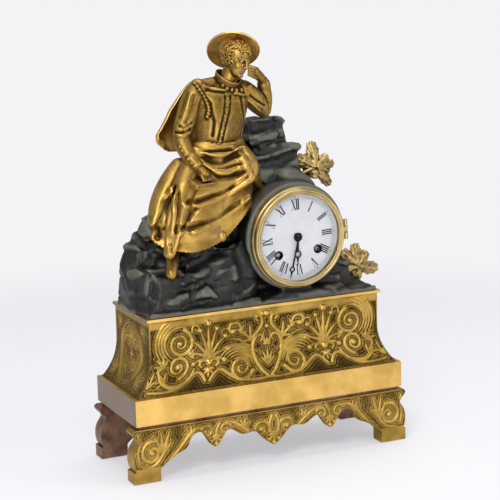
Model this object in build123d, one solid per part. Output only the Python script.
from build123d import *
import os
from math import atan2, copysign, cos, hypot, pi, radians, sin, sqrt

# Figural mantel clock. X is to the viewer's right, Y to the back and Z up, in millimetres.
# The origin is on the table, under the middle of the base.

# Base, from the table up
PLINTH_WIDTH = 270.0
PLINTH_DEPTH = 98.0
PLINTH_HEIGHT = 24.0
PLINTH_WALL = 4.5
PLINTH_FLANGE_REACH = 10.0
PLINTH_FLANGE_THICKNESS = 2.5
UNDERPLATE_INSET = 3.0
UNDERPLATE_THICKNESS = 3.0
UNDERPLATE_RIM_SIDE = 46.0
UNDERPLATE_RIM_FRONT = 13.0
APRON_HEIGHT = 50.0
APRON_THICKNESS = 8.0
FOOT_SIDE_REACH = 4.0
FOOT_FRONT_REACH = 0.5
FOOT_WIDTH = 26.0
FOOT_DEPTH = 16.0
FOOT_BLOCK_HEIGHT = 11.0
FRIEZE_HEIGHT = 67.5
FRIEZE_INSET = 3.5
FRIEZE_FLARE_SIDE = 16.0
FRIEZE_FLARE_FRONT = 7.5
FRIEZE_FLARE_HEIGHT = 36.0
FRIEZE_WALL = 2.5
TOP_PLATE_THICKNESS = 2.5
TOP_PLATE_LIP = 2.5
TIE_ROD_INSET = 33.0
TIE_ROD_WALL = 5.0
TIE_ROD_RADIUS = 2.0
TIE_ROD_GRIP = 5.0
TIE_NUT_RADIUS = 4.2
TIE_NUT_HEIGHT = 3.0

UNDERPLATE_TOP = APRON_HEIGHT + UNDERPLATE_THICKNESS
PLINTH_TOP = UNDERPLATE_TOP + PLINTH_HEIGHT
FRIEZE_TOP = PLINTH_TOP + FRIEZE_HEIGHT
BASE_TOP = FRIEZE_TOP + TOP_PLATE_THICKNESS
FRIEZE_HALF_WIDTH = PLINTH_WIDTH / 2 - FRIEZE_INSET
FRIEZE_TOP_HALF_WIDTH = FRIEZE_HALF_WIDTH - FRIEZE_FLARE_SIDE
FRIEZE_FRONT = FRIEZE_INSET - PLINTH_DEPTH / 2
FRIEZE_TOP_FRONT = FRIEZE_FRONT + FRIEZE_FLARE_FRONT
FRIEZE_BACK = PLINTH_DEPTH / 2 - FRIEZE_INSET
FOOT_OUTER_X = PLINTH_WIDTH / 2 + FOOT_SIDE_REACH
FOOT_OUTER_Y = PLINTH_DEPTH / 2 + FOOT_FRONT_REACH
TIE_ROD_X = PLINTH_WIDTH / 2 - TIE_ROD_INSET

# Case and dial. Distances along the clock's own axis count forward from the middle plane Y = 0.
DIAL_X = 34.0
DIAL_RISE = 59.0
MOVEMENT_ROLL = 3.0
ROCK_FRONT = 34.0
ROCK_BACK = -42.0
BORE_RADIUS = 43.5
DRUM_RADIUS = 50.0
BEZEL_RADIUS = 47.0
BEZEL_DEPTH = 6.0
BEZEL_OPENING_RADIUS = 40.2
BEZEL_LIP = 1.6
BEZEL_SHOULDER = 1.1
BEZEL_EASE = 0.7
BEZEL_GAP = 0.1
GLASS_RADIUS = 42.4
GLASS_THICKNESS = 1.5
GLASS_CLEARANCE = 0.1
DIAL_RING_DEPTH = 3.9
DIAL_RING_OPENING_RADIUS = 37.0
DIAL_RING_FLANGE = 1.0
DIAL_RADIUS = 41.3
DIAL_SEAT_CLEARANCE = 0.2
DIAL_THICKNESS = 1.2
DIAL_CENTRE_HOLE_RADIUS = 3.2
COLLET_RADIUS = 4.2
COLLET_BORE_RADIUS = 3.4
COLLET_HEIGHT = 1.8
DIAL_FOOT_RADIUS = 1.2
DIAL_FOOT_ANGLES = (30.0, 150.0, 270.0)
HINGE_OFFSET = 2.3
KNUCKLE_RADIUS = 1.8
KNUCKLE_LENGTH = 6.0
KNUCKLE_GAP = 0.3
HINGE_WEB = 1.6
HINGE_WEB_GRIP = 2.5
HINGE_PIN_RADIUS = 0.8
RUNNING_CLEARANCE = 0.08
REAR_RING_DEPTH = 3.0
REAR_RING_OPENING_RADIUS = 39.0
REAR_DOOR_THICKNESS = 1.2
REAR_DOOR_RIM_DEPTH = 2.5
REAR_DOOR_RIM_WIDTH = 4.0
STRAP_WIDTH = 8.0
STRAP_THICKNESS = 1.6
STRAP_BORE_GAP = 0.7

DIAL_Z = BASE_TOP + DIAL_RISE
DIAL_RING_FRONT = ROCK_FRONT + DIAL_RING_DEPTH
DIAL_BACK = ROCK_FRONT + DIAL_RING_FLANGE
DIAL_FRONT = DIAL_BACK + DIAL_THICKNESS
BEZEL_BACK = DIAL_RING_FRONT + BEZEL_GAP
BEZEL_FRONT = BEZEL_BACK + BEZEL_DEPTH
GLASS_FRONT = BEZEL_FRONT - BEZEL_LIP
HINGE_REACH = BEZEL_RADIUS + HINGE_OFFSET
REAR_RING_BACK = ROCK_BACK - REAR_RING_DEPTH
REAR_DOOR_FRONT = REAR_RING_BACK - BEZEL_GAP

# Movement plates
PLATE_RADIUS = 40.0
PLATE_THICKNESS = 2.5
FRONT_PLATE_FRONT = 28.0
PLATE_SPACING = 33.5
PILLAR_RADIUS = 2.6
PILLAR_CIRCLE = 36.5
PILLAR_ANGLES = (60.0, 120.0, 270.0)
WINDING_SPREAD = 20.0
WINDING_DROP = 14.4

FRONT_PLATE_BACK = FRONT_PLATE_FRONT - PLATE_THICKNESS
BACK_PLATE_FRONT = FRONT_PLATE_BACK - PLATE_SPACING
BACK_PLATE_BACK = BACK_PLATE_FRONT - PLATE_THICKNESS

# Trains: tooth counts, and one module for each meshing pair
GREAT_TEETH = 66
SECOND_PINION_TEETH = 12
GREAT_MODULE = 0.48
SECOND_TEETH = 70
CENTRE_PINION_TEETH = 10
SECOND_MODULE = 0.44
CENTRE_TEETH = 90
THIRD_PINION_TEETH = 8
CENTRE_MODULE = 0.34
THIRD_TEETH = 90
ESCAPE_PINION_TEETH = 8
THIRD_MODULE = 0.27
THIRD_ANGLE = 120.0
ESCAPE_TEETH = 40
ESCAPE_RADIUS = 8.0
ESCAPE_TOOTH_DEPTH = 1.5
PIN_WHEEL_TEETH = 60
FLY_PINION_TEETH = 8
PIN_WHEEL_MODULE = 0.42
PIN_WHEEL_ANGLE = 95.0
FLY_ANGLE = 100.0
CANNON_TEETH = 12
MINUTE_TEETH = 36
MOTION_MODULE = 0.40
MINUTE_PINION_TEETH = 10
HOUR_TEETH = 40
RATCHET_TEETH = 24
RATCHET_MODULE = 0.5
WHEEL_ADDENDUM = 0.9
WHEEL_DEDENDUM = 1.25
PINION_ADDENDUM = 0.55
PINION_DEDENDUM = 1.3
WHEEL_CROSSINGS = 4
WHEEL_HUB_RADIUS = 2.5
CENTRE_HUB_RADIUS = 3.5
ESCAPE_HUB_RADIUS = 2.0
WHEEL_RIM_MODULES = 4.0
SPOKE_SHARE = 0.16

# Train layers: (back, front) of each wheel along the clock's axis
SECOND_LAYER = (23.3, 24.7)
CENTRE_LAYER = (21.5, 22.6)
GREAT_LAYER = (18.6, 21.0)
BARREL_LAYER = (-4.0, 18.6)
THIRD_LAYER = (4.6, 5.5)
ESCAPE_LAYER = (-2.0, -1.0)
FLY_LAYER = (-7.0, 2.0)
MINUTE_LAYER = (29.8, 31.0)
HOUR_LAYER = (32.2, 33.4)
RATCHET_LAYER = (28.4, 29.6)
PINION_OVERHANG = 0.2
ARBOR_RADIUS = 0.6
CENTRE_ARBOR_RADIUS = 0.9
BARREL_RADIUS = 14.5
WINDING_ARBOR_RADIUS = 2.4
WINDING_PIVOT_RADIUS = 1.5
WINDING_ARBOR_SHOULDER = 1.0
WINDING_SQUARE = 3.4
WINDING_SQUARE_SETBACK = 0.6
FLY_HALF_WIDTH = 5.5
FLY_THICKNESS = 0.8
MINUTE_STUD_RADIUS = 0.8

# Hands
HAND_THICKNESS = 0.6
HOUR_HAND_LIFT = 1.1
MINUTE_HAND_LIFT = 2.8
HOUR_HAND_LENGTH = 27.0
HOUR_RING_PLACE = 16.0
HOUR_RING_RADIUS = 3.4
HOUR_HUB_RADIUS = 4.2
HOUR_PIPE_RADIUS = 2.5
HOUR_HAND_ANGLE = 184.0
MINUTE_HAND_LENGTH = 38.5
MINUTE_RING_PLACE = 30.0
MINUTE_RING_RADIUS = 2.7
MINUTE_HUB_RADIUS = 3.0
CANNON_RADIUS = 1.6
MINUTE_HAND_ANGLE = 197.0
HAND_RING_WIDTH = 1.2
HAND_SHAFT_WIDTH = 1.5
HAND_COLLET_RADIUS = 2.2
HAND_COLLET_HEIGHT = 0.8

# Escapement, pendulum and striking work
ANCHOR_DROP = 10.5
ANCHOR_ARBOR_RADIUS = 0.8
PALLET_ANGLE = 50.0
PALLET_CLEARANCE = 1.2
PALLET_WIDTH = 1.6
PALLET_LENGTH = 2.6
PALLET_UNDERCUT = 0.4
ANCHOR_CROWN = 2.2
ANCHOR_THROAT = 1.4
CRUTCH_LENGTH = 27.0
CRUTCH_WIDTH = 2.0
CRUTCH_PLAY = 0.3
CRUTCH_PRONG_WIDTH = 1.0
CRUTCH_LAYER = (-13.2, -12.0)
COCK_LAYER = (-17.0, -14.5)
COCK_WIDTH = 22.0
COCK_HEIGHT = 8.0
COCK_LEG_WIDTH = 4.0
SUSPENSION_STUD_RADIUS = 1.2
SUSPENSION_STUD_LENGTH = 5.0
PENDULUM_LENGTH = 125.7
PENDULUM_PLANE = -19.5
PENDULUM_ROD_RADIUS = 1.0
SILK_LENGTH = 16.0
SILK_WIDTH = 1.8
BOB_RADIUS = 14.0
BOB_THICKNESS = 6.0
BOB_EDGE = 1.2
BOB_SHOULDER_RADIUS = 8.4
BOB_SHOULDER = 4.8
PENDULUM_SLOT_WIDTH = 46.0
PENDULUM_SLOT_DEPTH = 12.0
BELL_RADIUS = 27.0
BELL_DEPTH = 14.0
BELL_THICKNESS = 1.6
BELL_CROWN_RADIUS = 9.45
BELL_HAUNCH_RADIUS = 21.6
BELL_HAUNCH_DROP = 3.9
BELL_MOUTH = -25.6
BELL_FOOT = (14.0, -24.0)
BELL_POST_RADIUS = 2.5
BELL_ARM_LAYER = (-24.2, -22.2)
BELL_STUD_RADIUS = 1.5
BELL_NUT_RADIUS = 3.0
BELL_NUT_HEIGHT = 2.5
HAMMER_PIVOT = (-31.0, -19.0)
HAMMER_ARM_LENGTH = 17.0
HAMMER_ARM_LEAN = 96.0
HAMMER_ARBOR_RADIUS = 1.2
HAMMER_ARBOR_STANDOUT = 1.0
HAMMER_BOSS_RADIUS = 1.9
HAMMER_HEAD_RADIUS = 3.0
HAMMER_ARM_LAYER = (-33.0, -31.0)
HAMMER_HEAD_LAYER = (-36.0, -28.0)

# Heights of the rock, the leaves and the figure count from the top of the base.
# Rock: each crag is (x low, x high), (y low, y high), (low, high), inset of its top, turn
SLAB_INSET = 1.0
SLAB_FRONT_LIP = 1.5
SLAB_HEIGHT = 8.0
SLAB_BEVEL = 3.0
CRAG_FACETS = 8
CRAG_UNEVENNESS = 0.09
CRAG_SQUARENESS = 0.6
CRAG_CORNER_STEP = 2.7
CRAG_TURN_STEP = 9.0
CRAG_STAGE_STEP = 2.0
CRAG_SHOULDER = 0.72
CRAG_SHOULDER_INSET = 0.35
SEAT_HEIGHT = 117.0
CRAGS = (
    ((-112, 70), (-12, 42), (0, 71), 16, 0.15),
    ((-120, -62), (-39.5, 18), (0, 43), 7, 0.3),
    ((-126, -54), (-18, 42), (0, 58), 9, 0.7),
    ((-112, -52), (-16, 36), (0, 82), 9, 0.1),
    ((-82, 4), (-38, 18), (0, 59), 11, 0.5),
    ((-64, 34), (-16, 42), (0, SEAT_HEIGHT), 10, 0.2),
    ((-34, 46), (-2, 40), (78, 149), 9, 0.6),
    ((-2, 47), (-9, 32), (108, 166), 6, 0.4),
    ((12, 66), (-10, 42), (78, 138), 9, 0.8),
    ((46, 113), (-30, 42), (0, 33), 12, 0.0),
)
FIGURE_NUT_SEAT = 79.0
ROCK_CAVITIES = (
    ((TIE_ROD_WALL - TIE_ROD_X, -58), (-14, 30), 31),
    ((-96, -20), (-14, 30), 43),
    ((-46, -14), (-8, 28), FIGURE_NUT_SEAT),
    ((54, TIE_ROD_X - TIE_ROD_WALL), (-16, 34), 17),
)
BEZEL_RELIEF = 1.2

# Leaves: middle of the leaf, half width, half height, turn about the viewing line, stem foot
LEAF_THICKNESS = 1.8
LEAF_DISH_RADIUS = 60.0
LEAF_LOBES = 5
LEAF_LOBE_DEPTH = 0.42
LEAF_TEETH = 4
LEAF_TOOTH_DEPTH = 0.10
LEAF_STEM_RADIUS = 1.6
UPPER_LEAF = ((71.0, 0.0, 119.0), 23.0, 24.0, 35.0, (50.0, 6.0, 103.0))
LOWER_LEAF = ((106.0, -20.0, 24.0), 23.0, 19.0, -15.0, (88.0, -10.0, 25.0))

# Figure: sections and joints of the body, with half widths, half depths and radii
ROBE_FOLDS = 11
ROBE_SECTION_POINTS = 44
ROBE_SECTIONS = (
    ((-31.0, -8.0, 150.0), 27.0, 16.0, (0.0, 0.0), 0.00),
    ((-37.0, -12.0, 134.0), 35.0, 23.0, (14.0, -2.0), 0.02),
    ((-44.0, -16.0, 115.0), 44.0, 26.0, (28.0, -5.0), 0.04),
    ((-52.0, -18.0, 97.0), 49.0, 28.0, (40.0, -8.0), 0.06),
    ((-56.0, -20.0, 81.0), 49.0, 31.0, (49.0, -10.0), 0.08),
)
TORSO_SECTIONS = (
    ((-31.0, -8.0, 150.0), 25.0, 15.0),
    ((-28.0, -6.0, 171.0), 26.5, 16.0),
    ((-24.0, -4.0, 192.0), 27.0, 13.0),
    ((-21.5, -5.0, 203.0), 12.0, 9.0),
)
NECK_POINTS = ((-21.0, -6.0, 196.0), (-16.0, -9.0, 215.0))
NECK_RADII = (7.5, 6.5)
HEAD_CENTRE = (-13.0, -10.0, 224.0)
HEAD_RADIUS = 9.6
HEAD_HALF_HEIGHT = 13.0
HEAD_LEAN = 14.0
HAIR_THICKNESS = 1.8
HAIR_BACK_SHIFT = 2.5
HAIR_FRONT = -2.0
HAIRLINE = 6.5
HAT_CENTRE = (-8.5, 2.0, 230.5)
HAT_TILT = 49.0
HAT_TURN = -24.7
HAT_BRIM_RADIUS = 26.5
HAT_BRIM_THICKNESS = 1.8
HAT_BRIM_DISH = 3.0
HAT_CROWN_RADIUS = 14.0
HAT_CROWN_HEIGHT = 11.0
HAT_CROWN_TAPER = 1.1
HAT_CROWN_SHOULDER = 7.7
HAT_CROWN_FLAT_RADIUS = 8.4
RIGHT_ARM_POINTS = ((-47, -2, 196.0), (-61, -4, 181.0), (-72, -8, 161.0), (-65, -25, 140.0), (-58, -35, 126.5))
RIGHT_ARM_RADII = (11.5, 12.5, 9.5, 7.0, 5.0)
LEFT_ARM_POINTS = ((1, -3, 191.0), (12, 0, 181.0), (21, 2, 173.0), (19, -3, 197.0), (4, -10, 211.0))
LEFT_ARM_RADII = (11.5, 10.5, 8.5, 6.0, 5.0)
CAPE_WALL = 2.6
CAPE_OPENING_Y = 1.0
CAPE_SECTIONS = (
    ((-41.0, 5.0, 139.0), 35.0, 17.0),
    ((-43.0, 5.0, 155.0), 42.0, 18.0),
    ((-36.0, 5.0, 179.0), 36.0, 15.0),
    ((-26.0, 4.0, 203.0), 26.0, 10.0),
)
BOOK_CENTRE = (-60.0, -37.0, 117.5)
BOOK_SIZE = (24.0, 17.0, 5.0)
BOOK_TURN = (18.0, 4.0, 12.0)
SHOE_TOES = ((-93.0, -42.0, 36.0), (-42.0, -39.0, 64.0))
SHOE_HEELS = ((-85.0, -24.0, 52.0), (-46.0, -20.0, 75.0))
SHOE_TOE_RADIUS = 4.6
SHOE_HEEL_RADIUS = 6.5
FIGURE_STUD_X = -30.0
FIGURE_STUD_Y = 2.0
FIGURE_STUD_RADIUS = 3.0
FIGURE_NUT_RADIUS = 6.0
FIGURE_NUT_HEIGHT = 4.0


# Shared shapes

def block(low, high):
    """Box between two opposite corners."""
    size = [end - start for start, end in zip(low, high)]
    return Pos(*low) * Box(*size, align=Align.MIN)


def column(radius, low, height):
    """Upright cylinder that stands on the point low."""
    return Pos(*low) * Cylinder(radius, height, align=(Align.CENTER, Align.CENTER, Align.MIN))


def fuse(shapes):
    """One shape from a list of shapes that touch or overlap."""
    first, *others = shapes
    return first + others if others else first


def largest(shape):
    """Main solid of a shape, without the chips that a cut leaves behind."""
    return max(shape.solids(), key=lambda solid: solid.volume)


def on_base(shape):
    """Lifts a shape, drawn from height 0, onto the top of the base."""
    return Pos(0, 0, BASE_TOP) * shape


def polar(radius, angle, centre=(0.0, 0.0)):
    """Point at a radius and an angle in degrees, about a centre."""
    return (centre[0] + radius * cos(radians(angle)), centre[1] + radius * sin(radians(angle)))


# Base

def pendulum_slot(low_z, high_z):
    """Straight way for the pendulum, under its suspension."""
    x, y = PENDULUM_HANG[0], -PENDULUM_PLANE
    half_width, half_depth = PENDULUM_SLOT_WIDTH / 2, PENDULUM_SLOT_DEPTH / 2
    return block((x - half_width, y - half_depth, low_z), (x + half_width, y + half_depth, high_z))


def tie_rod_places():
    return [(-TIE_ROD_X, 0.0), (TIE_ROD_X, 0.0)]


def tie_rod_holes(low_z, high_z):
    """Clearance holes for the two tie rods."""
    holes = []
    for x, y in tie_rod_places():
        holes.append(column(TIE_ROD_RADIUS + RUNNING_CLEARANCE, (x, y, low_z), high_z - low_z))
    return holes


def make_base_top_plate():
    half_width = FRIEZE_TOP_HALF_WIDTH + TOP_PLATE_LIP
    front = FRIEZE_TOP_FRONT - TOP_PLATE_LIP
    plate = block((-half_width, front, FRIEZE_TOP), (half_width, FRIEZE_BACK, BASE_TOP))
    plate -= pendulum_slot(FRIEZE_TOP, BASE_TOP)
    return plate - tie_rod_holes(FRIEZE_TOP, BASE_TOP)


def cavetto_edges(top, bottom):
    """Outer line of a frieze panel: upright above, sweeping outward below."""
    bend = PLINTH_TOP + FRIEZE_FLARE_HEIGHT
    upright = Line((top, FRIEZE_TOP), (top, bend))
    sweep_out = TangentArc((top, bend), (bottom, PLINTH_TOP), tangent=(0, -1))
    return upright, sweep_out


def cavetto_section(top, bottom, wall):
    """Closed section of a frieze panel; wall is signed towards the inside of the base."""
    outer = cavetto_edges(top, bottom)
    inner = cavetto_edges(top + wall, bottom + wall)
    lid = Line((top, FRIEZE_TOP), (top + wall, FRIEZE_TOP))
    sole = Line((bottom, PLINTH_TOP), (bottom + wall, PLINTH_TOP))
    return make_face([*outer, *inner, lid, sole])


def mitre_apex():
    """Plan point where the mitre lines of the two front corners cross."""
    return (0.0, FRIEZE_TOP_FRONT + FRIEZE_TOP_HALF_WIDTH * FRIEZE_FLARE_FRONT / FRIEZE_FLARE_SIDE)


def mitre_corner(side):
    """Plan point on a mitre line, well outside the base."""
    reach = 3.0
    x = FRIEZE_TOP_HALF_WIDTH + reach * FRIEZE_FLARE_SIDE
    return (side * x, FRIEZE_TOP_FRONT - reach * FRIEZE_FLARE_FRONT)


def plan_prism(points):
    """Upright prism over a plan outline, as high as the frieze."""
    outline = make_face(Polyline(*points, close=True))
    return Pos(0, 0, PLINTH_TOP) * extrude(outline, FRIEZE_HEIGHT, dir=(0, 0, 1))


def make_front_frieze():
    section = Plane.YZ * cavetto_section(FRIEZE_TOP_FRONT, FRIEZE_FRONT, FRIEZE_WALL)
    panel = extrude(section, FRIEZE_HALF_WIDTH, both=True)
    return panel & plan_prism([mitre_apex(), mitre_corner(-1), mitre_corner(1)])


def make_side_frieze(side):
    section = Plane.XZ * cavetto_section(
        side * FRIEZE_TOP_HALF_WIDTH, side * FRIEZE_HALF_WIDTH, -side * FRIEZE_WALL
    )
    panel = extrude(section, FRIEZE_BACK, both=True)
    corner = mitre_corner(side)
    return panel & plan_prism([mitre_apex(), corner, (corner[0], FRIEZE_BACK), (0.0, FRIEZE_BACK)])


def make_back_panel():
    top = FRIEZE_TOP_HALF_WIDTH - FRIEZE_WALL
    bottom = FRIEZE_HALF_WIDTH - FRIEZE_WALL
    lid = Line((-top, FRIEZE_TOP), (top, FRIEZE_TOP))
    sole = Line((-bottom, PLINTH_TOP), (bottom, PLINTH_TOP))
    outline = make_face([*cavetto_edges(top, bottom), *cavetto_edges(-top, -bottom), lid, sole])
    return Pos(0, FRIEZE_BACK, 0) * extrude(Plane.XZ * outline, FRIEZE_WALL, dir=(0, -1, 0))


def centred_block(width, depth, low_z, high_z):
    return block((-width / 2, -depth / 2, low_z), (width / 2, depth / 2, high_z))


def make_plinth_band():
    wall, reach = 2 * PLINTH_WALL, 2 * PLINTH_FLANGE_REACH
    band = centred_block(PLINTH_WIDTH, PLINTH_DEPTH, UNDERPLATE_TOP, PLINTH_TOP)
    flange_bottom = PLINTH_TOP - PLINTH_FLANGE_THICKNESS
    band -= centred_block(PLINTH_WIDTH - wall, PLINTH_DEPTH - wall, UNDERPLATE_TOP, flange_bottom)
    return band - centred_block(PLINTH_WIDTH - reach, PLINTH_DEPTH - reach, UNDERPLATE_TOP, PLINTH_TOP)


def make_plinth_underplate():
    width = PLINTH_WIDTH - 2 * UNDERPLATE_INSET
    depth = PLINTH_DEPTH - 2 * UNDERPLATE_INSET
    plate = centred_block(width, depth, APRON_HEIGHT, UNDERPLATE_TOP)
    plate -= centred_block(
        width - 2 * UNDERPLATE_RIM_SIDE, depth - 2 * UNDERPLATE_RIM_FRONT, APRON_HEIGHT, UNDERPLATE_TOP
    )
    return plate - tie_rod_holes(APRON_HEIGHT, UNDERPLATE_TOP)


def foot_outer_edge():
    """Outer S-line of a scroll foot, from the foot block up to the underplate."""
    x, rise = FOOT_OUTER_X, APRON_HEIGHT - FOOT_BLOCK_HEIGHT
    points = [(x - 2.5, FOOT_BLOCK_HEIGHT)]
    for outset, share in ((0.0, 0.28), (3.0, 0.56), (6.0, 0.70), (2.5, 0.82), (0.0, 0.92), (2.5, 1.0)):
        points.append((x - outset, FOOT_BLOCK_HEIGHT + share * rise))
    return Spline(*points)


def apron_lower_edge():
    """Lower line of half the apron: centre drop, two arches, a side drop and the foot scroll."""
    inner_x, rise = FOOT_OUTER_X - FOOT_WIDTH, APRON_HEIGHT - FOOT_BLOCK_HEIGHT
    points = []
    for place, share in (
        (0.0, 0.14), (0.09, 0.34), (0.18, 0.54), (0.28, 0.52), (0.40, 0.69), (0.47, 0.46), (0.52, 0.33),
        (0.58, 0.52), (0.66, 0.74), (0.73, 0.64), (0.76, 0.45), (0.84, 0.32), (0.94, 0.15), (1.0, 0.0),
    ):
        points.append((place * inner_x, FOOT_BLOCK_HEIGHT + share * rise))
    return Spline(*points)


def half_apron_face():
    lower, outer = apron_lower_edge(), foot_outer_edge()
    seat = Line(lower @ 1, outer @ 0)
    top = Line(outer @ 1, (0, APRON_HEIGHT))
    middle = Line((0, APRON_HEIGHT), lower @ 0)
    return make_face([lower, seat, outer, top, middle])


def scroll_foot():
    """Scroll leg with its block, at the front right; the apron's outline cut off at the scroll."""
    depth = FOOT_DEPTH
    leg_inner_x = FOOT_OUTER_X - 1.5 * FOOT_WIDTH
    leg = extrude(Plane.XZ * half_apron_face(), depth, dir=(0, 1, 0))
    leg &= block((leg_inner_x, 0, 0), (FOOT_OUTER_X, depth, APRON_HEIGHT))
    foot_block = block((FOOT_OUTER_X - FOOT_WIDTH, 0, 0), (FOOT_OUTER_X, depth, FOOT_BLOCK_HEIGHT))
    return Pos(0, -FOOT_OUTER_Y, 0) * (leg + foot_block)


def make_front_apron():
    half = Pos(0, -FOOT_OUTER_Y, 0) * extrude(Plane.XZ * half_apron_face(), APRON_THICKNESS, dir=(0, 1, 0))
    half += scroll_foot()
    return half + mirror(half, about=Plane.YZ)


def make_rear_feet():
    right = Pos(0, 2 * FOOT_OUTER_Y - FOOT_DEPTH, 0) * scroll_foot()
    return right + mirror(right, about=Plane.YZ)


def hex_nut(radius, bore, height, low):
    """Six-sided nut that stands on the point low."""
    outline = RegularPolygon(radius, 6) - Circle(bore + RUNNING_CLEARANCE)
    return Pos(*low) * extrude(outline, height)


def make_fixing_studs():
    """Two tie rods through the base, and the stud under the figure."""
    low = APRON_HEIGHT - TIE_NUT_HEIGHT
    studs = [column(TIE_ROD_RADIUS, (x, y, low), BASE_TOP + TIE_ROD_GRIP - low) for x, y in tie_rod_places()]
    nut_low = FIGURE_NUT_SEAT - FIGURE_NUT_HEIGHT
    stud_foot = (FIGURE_STUD_X, FIGURE_STUD_Y, nut_low)
    studs.append(on_base(column(FIGURE_STUD_RADIUS, stud_foot, SEAT_HEIGHT - nut_low)))
    return fuse(studs)


def make_fixing_nuts():
    low = APRON_HEIGHT - TIE_NUT_HEIGHT
    nuts = [hex_nut(TIE_NUT_RADIUS, TIE_ROD_RADIUS, TIE_NUT_HEIGHT, (x, y, low)) for x, y in tie_rod_places()]
    seat = (FIGURE_STUD_X, FIGURE_STUD_Y, FIGURE_NUT_SEAT - FIGURE_NUT_HEIGHT)
    nuts.append(on_base(hex_nut(FIGURE_NUT_RADIUS, FIGURE_STUD_RADIUS, FIGURE_NUT_HEIGHT, seat)))
    return fuse(nuts)


# Clock axis frame: u to the right, v up, and the third direction forward

MOVEMENT = Plane(
    origin=(DIAL_X, 0, DIAL_Z),
    x_dir=(cos(radians(MOVEMENT_ROLL)), 0, sin(radians(MOVEMENT_ROLL))),
    z_dir=(0, -1, 0),
)


def in_case(shape):
    """Moves a shape from the clock's own axis frame to its place in the case."""
    return Location(MOVEMENT) * shape


def drum(radius, back, front, centre=(0.0, 0.0)):
    """Cylinder along the clock's axis."""
    return column(radius, (centre[0], centre[1], back), front - back)


def turned(points):
    """Ring or disc turned about the clock's axis from (radius, forward) points."""
    section = make_face(Plane.XZ * Polyline(*points, close=True))
    return revolve(section, Axis.Z)


def spacing(teeth, other_teeth, module):
    """Distance between the axes of two meshing wheels."""
    return module * (teeth + other_teeth) / 2


def third_corner(start, end, from_start, from_end):
    """Corner to the left of a line, at given distances from its two ends."""
    dx, dy = end[0] - start[0], end[1] - start[1]
    span = hypot(dx, dy)
    along = (from_start ** 2 - from_end ** 2 + span ** 2) / (2 * span)
    across = sqrt(from_start ** 2 - along ** 2)
    return (start[0] + (along * dx - across * dy) / span, start[1] + (along * dy + across * dx) / span)


# Places of the arbors, seen from the front

CENTRE = (0.0, 0.0)
GOING_BARREL = (WINDING_SPREAD, -WINDING_DROP)
STRIKE_BARREL = (-WINDING_SPREAD, -WINDING_DROP)
GREAT_SPACING = spacing(GREAT_TEETH, SECOND_PINION_TEETH, GREAT_MODULE)
SECOND = third_corner(
    CENTRE, GOING_BARREL, spacing(SECOND_TEETH, CENTRE_PINION_TEETH, SECOND_MODULE), GREAT_SPACING
)
THIRD = polar(spacing(CENTRE_TEETH, THIRD_PINION_TEETH, CENTRE_MODULE), THIRD_ANGLE)
ESCAPE_SPACING = spacing(THIRD_TEETH, ESCAPE_PINION_TEETH, THIRD_MODULE)
ESCAPE = (0.0, THIRD[1] + sqrt(ESCAPE_SPACING ** 2 - THIRD[0] ** 2))
ANCHOR = (0.0, ESCAPE[1] + ANCHOR_DROP)
PIN_WHEEL = polar(GREAT_SPACING, PIN_WHEEL_ANGLE, STRIKE_BARREL)
FLY = polar(spacing(PIN_WHEEL_TEETH, FLY_PINION_TEETH, PIN_WHEEL_MODULE), FLY_ANGLE, PIN_WHEEL)
MOTION_SPACING = spacing(CANNON_TEETH, MINUTE_TEETH, MOTION_MODULE)
MINUTE = (0.0, -MOTION_SPACING)
HOUR_MODULE = 2 * MOTION_SPACING / (MINUTE_PINION_TEETH + HOUR_TEETH)
HANG_POINT = MOVEMENT.from_local_coords((ANCHOR[0], ANCHOR[1], 0))
PENDULUM_HANG = (HANG_POINT.X, HANG_POINT.Z)


# Wheels

def mesh_phase(centre, teeth, phase, other_centre, other_teeth):
    """Angle of a tooth of the other wheel that sets it in mesh, in radians."""
    line = atan2(other_centre[1] - centre[1], other_centre[0] - centre[0])
    return line + pi + pi / other_teeth + (line - phase) * teeth / other_teeth


def toothed_disc(teeth, root, tip, layer, phase):
    """Flat disc with one pointed tooth in each step round its edge."""
    points = []
    for tooth in range(teeth):
        angle = phase + 2 * pi * tooth / teeth
        gap = angle + pi / teeth
        points.append((tip * cos(angle), tip * sin(angle)))
        points.append((root * cos(gap), root * sin(gap)))
    outline = make_face(Polyline(*points, close=True))
    return Pos(0, 0, layer[0]) * extrude(outline, layer[1] - layer[0], dir=(0, 0, 1))


def crossing_windows(inner, outer, layer):
    """Four-cornered windows that leave the spokes of a wheel standing."""
    windows = []
    step = 360 / WHEEL_CROSSINGS
    for spoke in range(WHEEL_CROSSINGS):
        start, end = (spoke + SPOKE_SHARE) * step, (spoke + 1 - SPOKE_SHARE) * step
        rim = [polar(outer, angle) for angle in (start, (start + end) / 2, end)]
        corners = [polar(inner, start), *rim, polar(inner, end)]
        outline = make_face(Polyline(*corners, close=True))
        windows.append(Pos(0, 0, layer[0]) * extrude(outline, layer[1] - layer[0], dir=(0, 0, 1)))
    return windows


def make_wheel(teeth, module, layer, phase=0.0, hub_radius=WHEEL_HUB_RADIUS, crossed=True):
    radius = teeth * module / 2
    root, tip = radius - WHEEL_DEDENDUM * module, radius + WHEEL_ADDENDUM * module
    wheel = toothed_disc(teeth, root, tip, layer, phase)
    if crossed:
        wheel -= crossing_windows(hub_radius, radius - WHEEL_RIM_MODULES * module, layer)
    return wheel


def make_pinion(teeth, module, layer, phase):
    radius = teeth * module / 2
    overhung = (layer[0] - PINION_OVERHANG, layer[1] + PINION_OVERHANG)
    return toothed_disc(
        teeth, radius - PINION_DEDENDUM * module, radius + PINION_ADDENDUM * module, overhung, phase
    )


def set_on(centre, pieces):
    """Fuses the pieces of one arbor and places them in the case."""
    return in_case(Pos(centre[0], centre[1], 0) * fuse(pieces))


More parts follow.
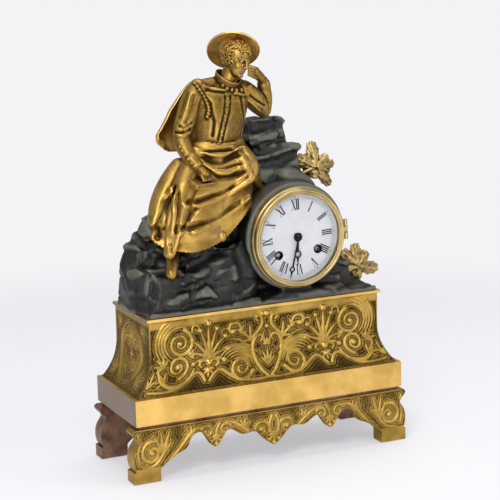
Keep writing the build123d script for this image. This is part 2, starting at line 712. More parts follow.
def plate_arbor(radius=ARBOR_RADIUS):
    """Arbor that runs in holes in both plates."""
    return drum(radius, BACK_PLATE_BACK, FRONT_PLATE_FRONT)


def make_second_wheel():
    phase = mesh_phase(GOING_BARREL, GREAT_TEETH, 0.0, SECOND, SECOND_PINION_TEETH)
    return set_on(SECOND, [
        plate_arbor(),
        make_wheel(SECOND_TEETH, SECOND_MODULE, SECOND_LAYER),
        make_pinion(SECOND_PINION_TEETH, GREAT_MODULE, GREAT_LAYER, phase),
    ])


def make_centre_wheel():
    phase = mesh_phase(SECOND, SECOND_TEETH, 0.0, CENTRE, CENTRE_PINION_TEETH)
    return set_on(CENTRE, [
        drum(CENTRE_ARBOR_RADIUS, BACK_PLATE_BACK, DIAL_FRONT + MINUTE_HAND_LIFT),
        make_wheel(CENTRE_TEETH, CENTRE_MODULE, CENTRE_LAYER, hub_radius=CENTRE_HUB_RADIUS),
        make_pinion(CENTRE_PINION_TEETH, SECOND_MODULE, SECOND_LAYER, phase),
    ])


def make_third_wheel():
    phase = mesh_phase(CENTRE, CENTRE_TEETH, 0.0, THIRD, THIRD_PINION_TEETH)
    return set_on(THIRD, [
        plate_arbor(),
        make_wheel(THIRD_TEETH, THIRD_MODULE, THIRD_LAYER),
        make_pinion(THIRD_PINION_TEETH, CENTRE_MODULE, CENTRE_LAYER, phase),
    ])


def make_escape_wheel():
    phase = mesh_phase(THIRD, THIRD_TEETH, 0.0, ESCAPE, ESCAPE_PINION_TEETH)
    rim = toothed_disc(ESCAPE_TEETH, ESCAPE_RADIUS - ESCAPE_TOOTH_DEPTH, ESCAPE_RADIUS, ESCAPE_LAYER, 0.0)
    rim -= crossing_windows(ESCAPE_HUB_RADIUS, ESCAPE_RADIUS - 2 * ESCAPE_TOOTH_DEPTH, ESCAPE_LAYER)
    return set_on(ESCAPE, [
        plate_arbor(),
        rim,
        make_pinion(ESCAPE_PINION_TEETH, THIRD_MODULE, THIRD_LAYER, phase),
    ])


def make_barrel(centre):
    wheel = make_wheel(GREAT_TEETH, GREAT_MODULE, GREAT_LAYER, crossed=False)
    body = wheel + drum(BARREL_RADIUS, *BARREL_LAYER)
    body -= drum(WINDING_ARBOR_RADIUS + RUNNING_CLEARANCE, BARREL_LAYER[0], GREAT_LAYER[1])
    return in_case(Pos(centre[0], centre[1], 0) * body)


def make_winding_arbor(centre):
    square_front = DIAL_BACK - WINDING_SQUARE_SETBACK
    square = block(
        (-WINDING_SQUARE / 2, -WINDING_SQUARE / 2, RATCHET_LAYER[1]),
        (WINDING_SQUARE / 2, WINDING_SQUARE / 2, square_front),
    )
    ratchet_radius = RATCHET_TEETH * RATCHET_MODULE / 2
    return set_on(centre, [
        drum(WINDING_PIVOT_RADIUS, BACK_PLATE_BACK, BARREL_LAYER[0]),
        drum(WINDING_ARBOR_RADIUS, BARREL_LAYER[0] - WINDING_ARBOR_SHOULDER, RATCHET_LAYER[1]),
        toothed_disc(RATCHET_TEETH, ratchet_radius - RATCHET_MODULE, ratchet_radius, RATCHET_LAYER, 0.0),
        square,
    ])


def make_pin_wheel():
    phase = mesh_phase(STRIKE_BARREL, GREAT_TEETH, 0.0, PIN_WHEEL, SECOND_PINION_TEETH)
    return set_on(PIN_WHEEL, [
        plate_arbor(),
        make_wheel(PIN_WHEEL_TEETH, PIN_WHEEL_MODULE, SECOND_LAYER),
        make_pinion(SECOND_PINION_TEETH, GREAT_MODULE, GREAT_LAYER, phase),
    ])


def make_fly():
    phase = mesh_phase(PIN_WHEEL, PIN_WHEEL_TEETH, 0.0, FLY, FLY_PINION_TEETH)
    blade = block(
        (-FLY_HALF_WIDTH, -FLY_THICKNESS / 2, FLY_LAYER[0]), (FLY_HALF_WIDTH, FLY_THICKNESS / 2, FLY_LAYER[1])
    )
    return set_on(FLY, [
        plate_arbor(),
        blade,
        make_pinion(FLY_PINION_TEETH, PIN_WHEEL_MODULE, SECOND_LAYER, phase),
    ])


# Plates and what holds them in the case

def make_plate(layer, holes):
    plate = drum(PLATE_RADIUS, *layer)
    return plate - [drum(radius, layer[0], layer[1], centre) for centre, radius in holes]


def arbor_holes():
    small = ARBOR_RADIUS + RUNNING_CLEARANCE
    return [(place, small) for place in (SECOND, THIRD, ESCAPE, PIN_WHEEL, FLY)]


def make_front_plate():
    holes = arbor_holes() + [
        (CENTRE, CENTRE_ARBOR_RADIUS + RUNNING_CLEARANCE),
        (ANCHOR, ANCHOR_ARBOR_RADIUS + RUNNING_CLEARANCE),
        (GOING_BARREL, WINDING_ARBOR_RADIUS + RUNNING_CLEARANCE),
        (STRIKE_BARREL, WINDING_ARBOR_RADIUS + RUNNING_CLEARANCE),
    ]
    plate = make_plate((FRONT_PLATE_BACK, FRONT_PLATE_FRONT), holes)
    stud = drum(MINUTE_STUD_RADIUS, FRONT_PLATE_FRONT, HOUR_LAYER[1] + PINION_OVERHANG, MINUTE)
    return in_case(plate + stud)


def make_back_plate():
    holes = arbor_holes() + [
        (CENTRE, CENTRE_ARBOR_RADIUS + RUNNING_CLEARANCE),
        (ANCHOR, ANCHOR_ARBOR_RADIUS + RUNNING_CLEARANCE),
        (GOING_BARREL, WINDING_PIVOT_RADIUS + RUNNING_CLEARANCE),
        (STRIKE_BARREL, WINDING_PIVOT_RADIUS + RUNNING_CLEARANCE),
        (HAMMER_PIVOT, HAMMER_ARBOR_RADIUS + RUNNING_CLEARANCE),
    ]
    return in_case(make_plate((BACK_PLATE_BACK, BACK_PLATE_FRONT), holes))


def make_plate_pillars():
    pillars = []
    for angle in PILLAR_ANGLES:
        pillars.append(drum(PILLAR_RADIUS, BACK_PLATE_FRONT, FRONT_PLATE_BACK, polar(PILLAR_CIRCLE, angle)))
    return in_case(fuse(pillars))


def make_case_straps():
    outer = BORE_RADIUS - STRAP_BORE_GAP
    straps = []
    for side in (-1, 1):
        low_u, high_u = sorted((side * outer, side * (outer - STRAP_THICKNESS)))
        straps.append(block((low_u, -STRAP_WIDTH / 2, ROCK_BACK), (high_u, STRAP_WIDTH / 2, ROCK_FRONT)))
    return in_case(fuse(straps))


def knuckle(side, level, low_v, radius, length=KNUCKLE_LENGTH):
    """Hinge barrel along v, beside the rim of the case."""
    lying = Rot(-90, 0, 0) * Cylinder(radius, length, align=(Align.CENTER, Align.CENTER, Align.MIN))
    return Pos(side * HINGE_REACH, low_v, level) * lying


def hinge_leaf(side, level, low_v, web_low):
    """Knuckle with the web that joins it to its ring."""
    low_u, high_u = sorted((side * (BEZEL_RADIUS - HINGE_WEB_GRIP), side * HINGE_REACH))
    web = block((low_u, low_v, web_low), (high_u, low_v + KNUCKLE_LENGTH, web_low + HINGE_WEB))
    return web + knuckle(side, level, low_v, KNUCKLE_RADIUS)


def outer_knuckle_places():
    """Lower ends of the two knuckles on the fixed ring."""
    half = KNUCKLE_LENGTH / 2 + KNUCKLE_GAP
    return [half, -half - KNUCKLE_LENGTH]


def hinge_bore(side, level, radius):
    reach = 2 * KNUCKLE_LENGTH
    return knuckle(side, level, -reach, radius, 2 * reach)


def pin_length():
    return 3 * KNUCKLE_LENGTH + 2 * KNUCKLE_GAP


def make_hinge_pins():
    pins = []
    for side, level in ((1, BEZEL_BACK), (-1, REAR_DOOR_FRONT)):
        pins.append(knuckle(side, level, -pin_length() / 2, HINGE_PIN_RADIUS, pin_length()))
    return in_case(fuse(pins))


def make_dial_ring():
    seat_radius = DIAL_RADIUS + DIAL_SEAT_CLEARANCE
    ring = turned([
        (DIAL_RING_OPENING_RADIUS, ROCK_FRONT), (BEZEL_RADIUS, ROCK_FRONT), (BEZEL_RADIUS, DIAL_RING_FRONT),
        (seat_radius, DIAL_RING_FRONT), (seat_radius, DIAL_BACK), (DIAL_RING_OPENING_RADIUS, DIAL_BACK),
    ])
    foot_circle = DIAL_RING_OPENING_RADIUS + DIAL_FOOT_RADIUS
    for angle in DIAL_FOOT_ANGLES:
        ring += drum(DIAL_FOOT_RADIUS, FRONT_PLATE_FRONT, ROCK_FRONT, polar(foot_circle, angle))
    for low_v in outer_knuckle_places():
        ring += hinge_leaf(1, BEZEL_BACK, low_v, DIAL_RING_FRONT - HINGE_WEB)
    return in_case(ring - hinge_bore(1, BEZEL_BACK, HINGE_PIN_RADIUS))


def make_glazed_bezel():
    rebate = GLASS_RADIUS + GLASS_CLEARANCE
    crest = (BEZEL_RADIUS + BEZEL_OPENING_RADIUS) / 2
    ring = turned([
        (rebate, BEZEL_BACK), (BEZEL_RADIUS, BEZEL_BACK), (BEZEL_RADIUS, BEZEL_BACK + BEZEL_DEPTH / 2),
        (BEZEL_RADIUS - BEZEL_SHOULDER, BEZEL_FRONT - BEZEL_SHOULDER), (crest, BEZEL_FRONT),
        (BEZEL_OPENING_RADIUS + BEZEL_EASE, BEZEL_FRONT - BEZEL_EASE), (BEZEL_OPENING_RADIUS, GLASS_FRONT),
        (rebate, GLASS_FRONT),
    ])
    ring += hinge_leaf(1, BEZEL_BACK, -KNUCKLE_LENGTH / 2, BEZEL_BACK + BEZEL_GAP)
    return in_case(ring - hinge_bore(1, BEZEL_BACK, HINGE_PIN_RADIUS + RUNNING_CLEARANCE))


def make_bezel_glass():
    return in_case(drum(GLASS_RADIUS, GLASS_FRONT - GLASS_THICKNESS, GLASS_FRONT))


def make_enamel_dial():
    dial = drum(DIAL_RADIUS, DIAL_BACK, DIAL_FRONT) - drum(DIAL_CENTRE_HOLE_RADIUS, DIAL_BACK, DIAL_FRONT)
    for place in (GOING_BARREL, STRIKE_BARREL):
        dial -= drum(COLLET_RADIUS, DIAL_BACK, DIAL_FRONT, place)
    return in_case(dial)


def make_winding_collets():
    collets = []
    for place in (GOING_BARREL, STRIKE_BARREL):
        tube = drum(COLLET_RADIUS, DIAL_BACK, DIAL_BACK + COLLET_HEIGHT, place)
        collets.append(tube - drum(COLLET_BORE_RADIUS, DIAL_BACK, DIAL_BACK + COLLET_HEIGHT, place))
    return in_case(fuse(collets))


def make_rear_ring():
    ring = drum(BEZEL_RADIUS, REAR_RING_BACK, ROCK_BACK)
    ring -= drum(REAR_RING_OPENING_RADIUS, REAR_RING_BACK, ROCK_BACK)
    for low_v in outer_knuckle_places():
        ring += hinge_leaf(-1, REAR_DOOR_FRONT, low_v, REAR_RING_BACK)
    return in_case(ring - hinge_bore(-1, REAR_DOOR_FRONT, HINGE_PIN_RADIUS))


def make_rear_door():
    back = REAR_DOOR_FRONT - REAR_DOOR_THICKNESS
    door = drum(BEZEL_RADIUS, REAR_DOOR_FRONT - REAR_DOOR_RIM_DEPTH, REAR_DOOR_FRONT)
    door -= drum(BEZEL_RADIUS - REAR_DOOR_RIM_WIDTH, REAR_DOOR_FRONT - REAR_DOOR_RIM_DEPTH, back)
    door += hinge_leaf(-1, REAR_DOOR_FRONT, -KNUCKLE_LENGTH / 2, REAR_DOOR_FRONT - BEZEL_GAP - HINGE_WEB)
    return in_case(door - hinge_bore(-1, REAR_DOOR_FRONT, HINGE_PIN_RADIUS + RUNNING_CLEARANCE))


# Hands and motion work

def make_hand(length, ring_place, ring_radius, hub_radius, bore, angle, lift):
    """Flat hand with an open ring near its tip; the angle counts clockwise from twelve."""
    shaft = Pos(0, ring_place / 2) * Rectangle(HAND_SHAFT_WIDTH, ring_place)
    half_tip = HAND_SHAFT_WIDTH
    tip = make_face(Polyline((-half_tip, ring_place), (half_tip, ring_place), (0, length), close=True))
    outline = Circle(hub_radius) + shaft + tip + Pos(0, ring_place) * Circle(ring_radius)
    outline -= Pos(0, ring_place) * Circle(ring_radius - HAND_RING_WIDTH)
    outline -= Circle(bore)
    level = DIAL_FRONT + lift
    return in_case(Pos(0, 0, level) * Rot(0, 0, -angle) * extrude(outline, HAND_THICKNESS, dir=(0, 0, 1)))


def make_hour_hand():
    return make_hand(
        HOUR_HAND_LENGTH, HOUR_RING_PLACE, HOUR_RING_RADIUS, HOUR_HUB_RADIUS, HOUR_PIPE_RADIUS,
        HOUR_HAND_ANGLE, HOUR_HAND_LIFT,
    )


def make_minute_hand():
    return make_hand(
        MINUTE_HAND_LENGTH, MINUTE_RING_PLACE, MINUTE_RING_RADIUS, MINUTE_HUB_RADIUS, CANNON_RADIUS,
        MINUTE_HAND_ANGLE, MINUTE_HAND_LIFT,
    )


def make_hand_collet():
    low = DIAL_FRONT + MINUTE_HAND_LIFT + HAND_THICKNESS
    return in_case(drum(HAND_COLLET_RADIUS, low, low + HAND_COLLET_HEIGHT))


def make_cannon_pinion():
    pipe_front = DIAL_FRONT + MINUTE_HAND_LIFT + HAND_THICKNESS
    pinion = make_pinion(CANNON_TEETH, MOTION_MODULE, MINUTE_LAYER, 0.0)
    pinion += drum(CANNON_RADIUS, FRONT_PLATE_FRONT + RUNNING_CLEARANCE, pipe_front)
    return in_case(pinion - drum(CENTRE_ARBOR_RADIUS + RUNNING_CLEARANCE, FRONT_PLATE_FRONT, pipe_front))


def make_minute_wheel():
    phase = mesh_phase(CENTRE, CANNON_TEETH, 0.0, MINUTE, MINUTE_TEETH)
    wheel = make_wheel(MINUTE_TEETH, MOTION_MODULE, MINUTE_LAYER, phase, crossed=False)
    pinion_layer = (MINUTE_LAYER[1], HOUR_LAYER[1])
    pinion = make_pinion(MINUTE_PINION_TEETH, HOUR_MODULE, pinion_layer, 0.0)
    bore = drum(MINUTE_STUD_RADIUS + RUNNING_CLEARANCE, FRONT_PLATE_FRONT, DIAL_BACK)
    collar = drum(2 * MINUTE_STUD_RADIUS, FRONT_PLATE_FRONT + RUNNING_CLEARANCE, MINUTE_LAYER[0])
    return in_case(Pos(MINUTE[0], MINUTE[1], 0) * (wheel + pinion + collar - bore))


def make_hour_wheel():
    phase = mesh_phase(MINUTE, MINUTE_PINION_TEETH, 0.0, CENTRE, HOUR_TEETH)
    pipe_front = DIAL_FRONT + HOUR_HAND_LIFT + HAND_THICKNESS
    wheel = make_wheel(HOUR_TEETH, HOUR_MODULE, HOUR_LAYER, phase, crossed=False)
    wheel += drum(HOUR_PIPE_RADIUS, HOUR_LAYER[0], pipe_front)
    return in_case(wheel - drum(CANNON_RADIUS + RUNNING_CLEARANCE, HOUR_LAYER[0], pipe_front))


# Escapement and pendulum

def in_pendulum_frame(shape):
    """Places a shape whose origin is the suspension, hanging plumb, v up and forward third."""
    plumb = Plane(origin=(PENDULUM_HANG[0], 0, PENDULUM_HANG[1]), x_dir=(1, 0, 0), z_dir=(0, -1, 0))
    return Location(plumb) * shape


def make_anchor_and_crutch():
    """Anchor with two pallets over the escape wheel, and the crutch behind the back plate."""
    reach = ESCAPE_RADIUS + PALLET_CLEARANCE
    tip = polar(reach, 90 - PALLET_ANGLE, (0, -ANCHOR_DROP))
    outline = [
        (0, ANCHOR_CROWN), (tip[0] + PALLET_WIDTH, tip[1] + PALLET_LENGTH), tip,
        (tip[0] - PALLET_UNDERCUT, tip[1] + ANCHOR_CROWN), (0, -ANCHOR_THROAT),
    ]
    arm = make_face(Polyline(*outline, close=True))
    arms = Pos(0, 0, ESCAPE_LAYER[0]) * extrude(arm, ESCAPE_LAYER[1] - ESCAPE_LAYER[0], dir=(0, 0, 1))
    anchor = arms + mirror(arms, about=Plane.YZ)
    anchor += drum(ANCHOR_ARBOR_RADIUS, COCK_LAYER[0], FRONT_PLATE_FRONT)
    anchor = in_case(Pos(ANCHOR[0], ANCHOR[1], 0) * anchor)
    crutch = block(
        (-CRUTCH_WIDTH / 2, -CRUTCH_LENGTH, CRUTCH_LAYER[0]), (CRUTCH_WIDTH / 2, 0, CRUTCH_LAYER[1])
    )
    crutch += drum(2 * ANCHOR_ARBOR_RADIUS, *CRUTCH_LAYER)
    prong_back = PENDULUM_PLANE - 2 * PENDULUM_ROD_RADIUS
    inner = PENDULUM_ROD_RADIUS + CRUTCH_PLAY
    outer = inner + CRUTCH_PRONG_WIDTH
    low, high = -CRUTCH_LENGTH, CRUTCH_WIDTH - CRUTCH_LENGTH
    bridge = block((-outer, low, CRUTCH_LAYER[0]), (outer, high, CRUTCH_LAYER[1]))
    prong = block((inner, low, prong_back), (outer, high, CRUTCH_LAYER[1]))
    crutch += [bridge, prong, mirror(prong, about=Plane.YZ)]
    return anchor + in_pendulum_frame(crutch)


def make_suspension_cock():
    u, v = ANCHOR
    half = COCK_WIDTH / 2
    low_v, high_v = v - COCK_HEIGHT / 2, v + COCK_HEIGHT / 2
    cock = block((u - half, low_v, COCK_LAYER[0]), (u + half, high_v, COCK_LAYER[1]))
    for side in (-1, 1):
        inner, outer = sorted((u + side * half, u + side * (half - COCK_LEG_WIDTH)))
        cock += block((inner, low_v, COCK_LAYER[1]), (outer, high_v, BACK_PLATE_BACK))
    cock += drum(SUSPENSION_STUD_RADIUS, COCK_LAYER[0] - SUSPENSION_STUD_LENGTH, COCK_LAYER[0], ANCHOR)
    return in_case(cock - drum(ANCHOR_ARBOR_RADIUS + RUNNING_CLEARANCE, COCK_LAYER[0], COCK_LAYER[1], ANCHOR))


def make_silk_loop():
    layer = (PENDULUM_PLANE - SILK_WIDTH / 2, PENDULUM_PLANE + SILK_WIDTH / 2)
    eye_radius = 2 * SUSPENSION_STUD_RADIUS
    strip = block((-SILK_WIDTH / 2, -SILK_LENGTH, layer[0]), (SILK_WIDTH / 2, 0, layer[1]))
    loop = strip + drum(eye_radius, *layer)
    return in_pendulum_frame(loop - drum(SUSPENSION_STUD_RADIUS + RUNNING_CLEARANCE, *layer))


def pendulum_rod_shape(radius):
    length = PENDULUM_LENGTH - SILK_LENGTH
    rod = Rot(90, 0, 0) * Cylinder(radius, length, align=(Align.CENTER, Align.CENTER, Align.MIN))
    return Pos(0, -SILK_LENGTH, PENDULUM_PLANE) * rod


def make_pendulum_rod():
    return in_pendulum_frame(pendulum_rod_shape(PENDULUM_ROD_RADIUS))


def make_pendulum_bob():
    front = [(0, BOB_THICKNESS / 2), (BOB_SHOULDER_RADIUS, BOB_SHOULDER / 2), (BOB_RADIUS, BOB_EDGE / 2)]
    lens = turned(front + [(radius, -depth) for radius, depth in reversed(front)])
    bob = Pos(0, -PENDULUM_LENGTH, PENDULUM_PLANE) * lens
    return in_pendulum_frame(bob - pendulum_rod_shape(PENDULUM_ROD_RADIUS))


# Striking work behind the back plate

def make_bell_stand():
    post = drum(BELL_POST_RADIUS, BELL_ARM_LAYER[0], BACK_PLATE_BACK, BELL_FOOT)
    length = hypot(*BELL_FOOT)
    arm = Pos(length / 2, 0) * Rectangle(length, 2 * BELL_POST_RADIUS)
    arm += Circle(BELL_POST_RADIUS)
    turn = atan2(BELL_FOOT[1], BELL_FOOT[0]) * 180 / pi
    arm_thickness = BELL_ARM_LAYER[1] - BELL_ARM_LAYER[0]
    arm_solid = Pos(0, 0, BELL_ARM_LAYER[0]) * Rot(0, 0, turn) * extrude(arm, arm_thickness)
    apex = BELL_MOUTH - BELL_DEPTH
    seat = drum(BELL_POST_RADIUS, apex + BELL_THICKNESS, BELL_ARM_LAYER[0])
    stud = drum(BELL_STUD_RADIUS, apex - BELL_NUT_HEIGHT, BELL_ARM_LAYER[0])
    return in_case(fuse([post, arm_solid, seat, stud]))


def make_bell():
    """Shallow dome with its mouth towards the plates."""
    apex = BELL_MOUTH - BELL_DEPTH
    haunch = (BELL_HAUNCH_RADIUS, apex + BELL_HAUNCH_DROP)
    outer = [(BELL_RADIUS, BELL_MOUTH), haunch, (BELL_CROWN_RADIUS, apex)]
    rim = Spline(*outer, tangents=((-0.2, -1.0), (-1.0, -0.1)))
    inner = Spline(
        *[(r - 0.8 * BELL_THICKNESS, z + 0.6 * BELL_THICKNESS) for r, z in outer[:2]],
        (BELL_CROWN_RADIUS, apex + BELL_THICKNESS), tangents=((-0.2, -1.0), (-1.0, -0.1)),
    )
    hole = BELL_STUD_RADIUS + RUNNING_CLEARANCE
    crown = [(hole, apex), (hole, apex + BELL_THICKNESS)]
    section = make_face([
        rim, Line(rim @ 1, crown[0]), Line(crown[0], crown[1]), Line(crown[1], inner @ 1), inner,
        Line(inner @ 0, rim @ 0),
    ])
    return in_case(revolve(Plane.XZ * section, Axis.Z))


def make_bell_nut():
    apex = BELL_MOUTH - BELL_DEPTH
    nut = drum(BELL_NUT_RADIUS, apex - BELL_NUT_HEIGHT, apex)
    return in_case(nut - drum(BELL_STUD_RADIUS + RUNNING_CLEARANCE, apex - BELL_NUT_HEIGHT, apex))


def make_hammer():
    """Arbor through the back plate, an arm beside the bell and a round head."""
    inner_end = BACK_PLATE_FRONT + HAMMER_ARBOR_STANDOUT
    arbor = drum(HAMMER_ARBOR_RADIUS, HAMMER_ARM_LAYER[0], inner_end)
    shaft = Pos(HAMMER_ARM_LENGTH / 2, 0) * Rectangle(HAMMER_ARM_LENGTH, 2 * HAMMER_ARBOR_RADIUS)
    shaft += Circle(HAMMER_BOSS_RADIUS)
    arm = Pos(0, 0, HAMMER_ARM_LAYER[0]) * extrude(shaft, HAMMER_ARM_LAYER[1] - HAMMER_ARM_LAYER[0])
    head = drum(HAMMER_HEAD_RADIUS, *HAMMER_HEAD_LAYER, centre=(HAMMER_ARM_LENGTH, 0))
    swung = Rot(0, 0, HAMMER_ARM_LEAN) * (arm + head)
    return in_case(Pos(HAMMER_PIVOT[0], HAMMER_PIVOT[1], 0) * (arbor + swung))


# Rock and leaves

def crag_ring(x, y, z, inset, turn, stage):
    """Uneven ring of corners, squarer than an oval, at one height of a crag."""
    middle = ((x[0] + x[1]) / 2, (y[0] + y[1]) / 2)
    reach = ((x[1] - x[0]) / 2 - inset, (y[1] - y[0]) / 2 - inset)
    ring = []
    for corner in range(CRAG_FACETS):
        angle = 2 * pi * (corner + 0.5 + CRAG_SQUARENESS * turn) / CRAG_FACETS
        unrest = sin(CRAG_CORNER_STEP * corner + CRAG_TURN_STEP * turn + CRAG_STAGE_STEP * stage)
        wobble = 1 - CRAG_UNEVENNESS * (1 + unrest)
        across = copysign(abs(cos(angle)) ** CRAG_SQUARENESS, cos(angle))
        along = copysign(abs(sin(angle)) ** CRAG_SQUARENESS, sin(angle))
        ring.append((middle[0] + reach[0] * wobble * across, middle[1] + reach[1] * wobble * along, z))
    return ring


def make_crag(x, y, z, inset, turn):
    """Faceted block of rock: full below, a broken shoulder, and a smaller uneven top."""
    shoulder = z[0] + CRAG_SHOULDER * (z[1] - z[0])
    points = crag_ring(x, y, z[0], 0.0, turn, 0)
    points += crag_ring(x, y, shoulder, CRAG_SHOULDER_INSET * inset, turn, 1)
    points += crag_ring(x, y, z[1], inset, turn, 2)
    return ConvexPolyhedron(points)


def make_slab():
    """Flat foot of the rock with a bevelled upper edge."""
    half_width, front = FRIEZE_TOP_HALF_WIDTH - SLAB_INSET, FRIEZE_TOP_FRONT - SLAB_FRONT_LIP
    low = [(-half_width, front), (half_width, front), (half_width, -ROCK_BACK), (-half_width, -ROCK_BACK)]
    corners = []
    for x, y in low:
        inner_y = y + SLAB_BEVEL if y < 0 else y
        inner_x = x - SLAB_BEVEL if x > 0 else x + SLAB_BEVEL
        corners.append((x, y, 0))
        corners.append((x, y, SLAB_HEIGHT - SLAB_BEVEL))
        corners.append((inner_x, inner_y, SLAB_HEIGHT))
    return ConvexPolyhedron(corners)


def make_rock_terrace():
    rock = on_base(make_slab() + [make_crag(*crag) for crag in CRAGS])
    rock += in_case(drum(DRUM_RADIUS, ROCK_BACK, ROCK_FRONT))
    reach = PLINTH_WIDTH
    rock &= block((-reach, -reach, BASE_TOP), (reach, -ROCK_BACK, BASE_TOP + reach))
    rock -= in_case(drum(BORE_RADIUS, ROCK_BACK, ROCK_FRONT))
    rock -= bezel_relief()
    rock -= pendulum_slot(BASE_TOP, DIAL_Z)
    rock -= tie_rod_holes(BASE_TOP, BASE_TOP + TIE_ROD_GRIP)
    for x, y, ceiling in ROCK_CAVITIES:
        rock -= on_base(block((x[0], y[0], 0), (x[1], y[1], ceiling)))
    stud_hole = column(
        FIGURE_STUD_RADIUS + RUNNING_CLEARANCE,
        (FIGURE_STUD_X, FIGURE_STUD_Y, FIGURE_NUT_SEAT),
        SEAT_HEIGHT - FIGURE_NUT_SEAT,
    )
    return rock - on_base(stud_hole)


def bezel_relief():
    """Room in front of the rock for the bezel and its hinge."""
    front = ROCK_FRONT + PLINTH_DEPTH
    room = drum(BEZEL_RADIUS + BEZEL_RELIEF, ROCK_FRONT, front)
    half = 2 * KNUCKLE_LENGTH
    reach = HINGE_REACH + KNUCKLE_RADIUS + BEZEL_RELIEF
    return in_case(room + block((0, -half, ROCK_FRONT), (reach, half, front)))


def leaf_outline(half_width, half_height):
    """Lobed leaf edge with small teeth on every lobe."""
    count = LEAF_LOBES * LEAF_TEETH * 2
    points = []
    for step in range(count):
        angle = 2 * pi * step / count
        lobe = abs(cos(LEAF_LOBES * angle / 2))
        tooth = LEAF_TOOTH_DEPTH * (1 if step % 2 else -1)
        radius = 1 - LEAF_LOBE_DEPTH + LEAF_LOBE_DEPTH * lobe + tooth * lobe
        points.append((half_width * radius * sin(angle), half_height * radius * cos(angle)))
    return make_face(Polyline(*points, close=True))


def make_leaf(middle, half_width, half_height, turn, stem_foot):
    """Dished leaf cut from a thin ball shell, with a stem down to the rock."""
    blank = extrude(Rot(0, 0, turn) * leaf_outline(half_width, half_height), LEAF_DISH_RADIUS / 2, both=True)
    shell = Sphere(LEAF_DISH_RADIUS) - Sphere(LEAF_DISH_RADIUS - LEAF_THICKNESS)
    dish = blank & Pos(0, 0, -LEAF_DISH_RADIUS) * shell
    facing = Plane(origin=middle, x_dir=(1, 0, 0), z_dir=(0, -1, 0))
    leaf = Location(facing) * dish
    stem_top = (middle[0], middle[1] + LEAF_THICKNESS / 2, middle[2])
    return on_base(leaf + make_limb((stem_foot, stem_top), (LEAF_STEM_RADIUS, LEAF_STEM_RADIUS)))


# Figure

def make_limb(points, radii):
    """Round limb through points, with a ball at every point."""
    pieces = [Pos(*point) * Sphere(radius) for point, radius in zip(points, radii)]
    for start, end, start_radius, end_radius in zip(points, points[1:], radii, radii[1:]):
        direction = Vector(end) - Vector(start)
        length = direction.length
        frame = Plane(origin=start, z_dir=direction)
        ease = (start_radius - end_radius) / length
        lift = sqrt(1 - ease ** 2)
        low, high = start_radius * ease, length + end_radius * ease
        section = make_face(Plane.XZ * Polyline(
            (0, low), (start_radius * lift, low), (end_radius * lift, high), (0, high), close=True
        ))
        pieces.append(Location(frame) * revolve(section, Axis.Z))
    return fuse(pieces)


def fold_section(centre, half_width, half_depth, tilt, fold_depth):
    """Oval robe section with folds round its edge, tipped forward and sideways by the tilt."""
    points = []
    for step in range(ROBE_SECTION_POINTS):
        angle = 2 * pi * step / ROBE_SECTION_POINTS
        swell = 1 + fold_depth * sin(ROBE_FOLDS * angle)
        points.append((half_width * swell * cos(angle), half_depth * swell * sin(angle)))
    return Pos(*centre) * Rot(*tilt, 0) * make_face(Spline(*points, periodic=True))


def oval(centre, half_width, half_depth):
    return Pos(*centre) * Ellipse(half_width, half_depth)


def make_figure(rock):
    """All pieces of the figure; each is cut by those that it sits on or against."""
    relief = bezel_relief()
    cloth = on_base(loft([fold_section(*section) for section in ROBE_SECTIONS]))
    robe = largest(cloth - rock - relief - make_fixing_studs())
    torso = on_base(loft([oval(*section) for section in TORSO_SECTIONS])) - rock
    head = on_base(make_head()) - torso
    book_block = on_base(Pos(*BOOK_CENTRE) * Rot(*BOOK_TURN) * Box(*BOOK_SIZE))
    right_arm = on_base(make_limb(RIGHT_ARM_POINTS, RIGHT_ARM_RADII)) - torso - book_block - robe
    left_arm = on_base(make_limb(LEFT_ARM_POINTS, LEFT_ARM_RADII)) - torso - rock - head - robe
    hat = on_base(make_hat()) - head - left_arm - torso
    book = book_block - robe
    shoes = Compound([
        largest(on_base(make_shoe(toe, heel)) - rock - robe) for toe, heel in zip(SHOE_TOES, SHOE_HEELS)
    ])
    cape = on_base(make_cape()) - torso - right_arm - left_arm - head - robe - rock - hat
    return {
        "figure_robe": robe,
        "figure_torso": torso,
        "figure_head": head,
        "figure_hat": hat,
        "figure_right_arm": right_arm,
        "figure_left_arm": left_arm,
        "figure_book": book,
        "figure_shoes": shoes,
        "figure_cape": cape,
    }


def egg(radius, half_height):
    """Egg-shaped solid, upright, about its own middle."""
    arc = EllipticalCenterArc((0, 0), radius, half_height, start_angle=-90, arc_size=180)
    section = make_face([arc, Line((0, half_height), (0, -half_height))])
    return revolve(Plane.XZ * section, Axis.Z)


def make_head():
    """Plain egg-shaped head with a cap of hair, leaning towards the raised hand, on its neck."""
    skull = Pos(*HEAD_CENTRE) * Rot(0, HEAD_LEAN, 0)
    face = skull * egg(HEAD_RADIUS, HEAD_HALF_HEIGHT)
    hair = skull * Pos(0, HAIR_BACK_SHIFT, HAIR_THICKNESS) * egg(
        HEAD_RADIUS + HAIR_THICKNESS, HEAD_HALF_HEIGHT + HAIR_THICKNESS
    )
    reach = 2 * HEAD_HALF_HEIGHT
    hair -= skull * block((-reach, -reach, -reach), (reach, HAIR_FRONT, HAIRLINE))
    return make_limb(NECK_POINTS, NECK_RADII) + face + hair


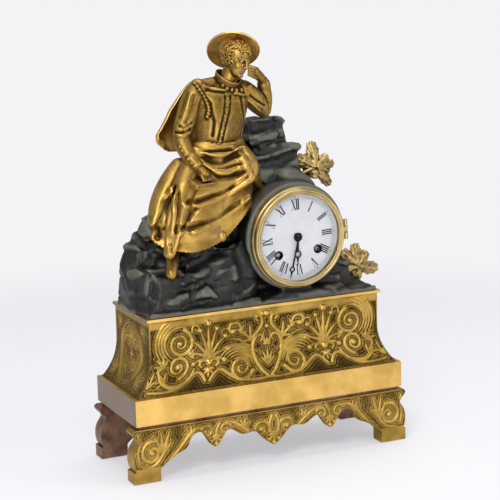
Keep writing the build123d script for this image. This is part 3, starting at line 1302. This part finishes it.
def make_hat():
    """Round brim with a low crown, pushed to the back of the head."""
    brim = turned([
        (0, 0), (HAT_BRIM_RADIUS, -HAT_BRIM_DISH), (HAT_BRIM_RADIUS, HAT_BRIM_THICKNESS - HAT_BRIM_DISH),
        (0, HAT_BRIM_THICKNESS),
    ])
    crown = turned([
        (0, 0), (HAT_CROWN_RADIUS, 0), (HAT_CROWN_RADIUS - HAT_CROWN_TAPER, HAT_CROWN_SHOULDER),
        (HAT_CROWN_FLAT_RADIUS, HAT_CROWN_HEIGHT), (0, HAT_CROWN_HEIGHT),
    ])
    return Pos(*HAT_CENTRE) * Rot(0, 0, HAT_TURN) * Rot(-HAT_TILT, 0, 0) * (brim + crown)


def make_shoe(toe, heel):
    return make_limb((heel, toe), (SHOE_HEEL_RADIUS, SHOE_TOE_RADIUS))


def make_cape():
    """Short cape: a half shell that hangs from the shoulders, open towards the front."""
    outer = loft([oval(*section) for section in CAPE_SECTIONS])
    hollow = []
    for index, (centre, half_width, half_depth) in enumerate(CAPE_SECTIONS):
        lower = CAPE_WALL if index == 0 else 0.0
        inner = (centre[0], centre[1], centre[2] - lower)
        hollow.append(oval(inner, half_width - CAPE_WALL, half_depth - CAPE_WALL))
    reach = PLINTH_WIDTH
    front = block((-reach, -reach, 0), (reach, CAPE_OPENING_Y, reach))
    return outer - loft(hollow) - front


def make_parts():
    rock = make_rock_terrace()
    parts = {
        "base_top_plate": make_base_top_plate(),
        "front_frieze": make_front_frieze(),
        "left_frieze": make_side_frieze(-1),
        "right_frieze": make_side_frieze(1),
        "back_panel": make_back_panel(),
        "plinth_band": make_plinth_band(),
        "plinth_underplate": make_plinth_underplate(),
        "front_apron": make_front_apron(),
        "rear_feet": make_rear_feet(),
        "fixing_studs": make_fixing_studs(),
        "fixing_nuts": make_fixing_nuts(),
        "rock_terrace": rock,
        "upper_leaf": largest(make_leaf(*UPPER_LEAF) - rock),
        "lower_leaf": largest(make_leaf(*LOWER_LEAF) - rock),
        "dial_ring": make_dial_ring(),
        "glazed_bezel": make_glazed_bezel(),
        "bezel_glass": make_bezel_glass(),
        "enamel_dial": make_enamel_dial(),
        "winding_collets": make_winding_collets(),
        "hinge_pins": make_hinge_pins(),
        "rear_ring": make_rear_ring(),
        "rear_door": make_rear_door(),
        "case_straps": make_case_straps(),
        "front_plate": make_front_plate(),
        "back_plate": make_back_plate(),
        "plate_pillars": make_plate_pillars(),
        "hour_hand": make_hour_hand(),
        "minute_hand": make_minute_hand(),
        "hand_collet": make_hand_collet(),
        "cannon_pinion": make_cannon_pinion(),
        "minute_wheel": make_minute_wheel(),
        "hour_wheel": make_hour_wheel(),
        "going_barrel": make_barrel(GOING_BARREL),
        "going_winding_arbor": make_winding_arbor(GOING_BARREL),
        "second_wheel": make_second_wheel(),
        "centre_wheel": make_centre_wheel(),
        "third_wheel": make_third_wheel(),
        "escape_wheel": make_escape_wheel(),
        "anchor_and_crutch": make_anchor_and_crutch(),
        "suspension_cock": make_suspension_cock(),
        "silk_loop": make_silk_loop(),
        "pendulum_rod": make_pendulum_rod(),
        "pendulum_bob": make_pendulum_bob(),
        "strike_barrel": make_barrel(STRIKE_BARREL),
        "strike_winding_arbor": make_winding_arbor(STRIKE_BARREL),
        "pin_wheel": make_pin_wheel(),
        "fly": make_fly(),
        "hammer": make_hammer(),
        "bell_stand": make_bell_stand(),
        "bell": make_bell(),
        "bell_nut": make_bell_nut(),
    }
    parts.update(make_figure(rock))
    return parts


def main():
    os.makedirs("parts", exist_ok=True)
    for name, part in make_parts().items():
        export_step(part, os.path.join("parts", name + ".step"))


if __name__ == "__main__":
    main()
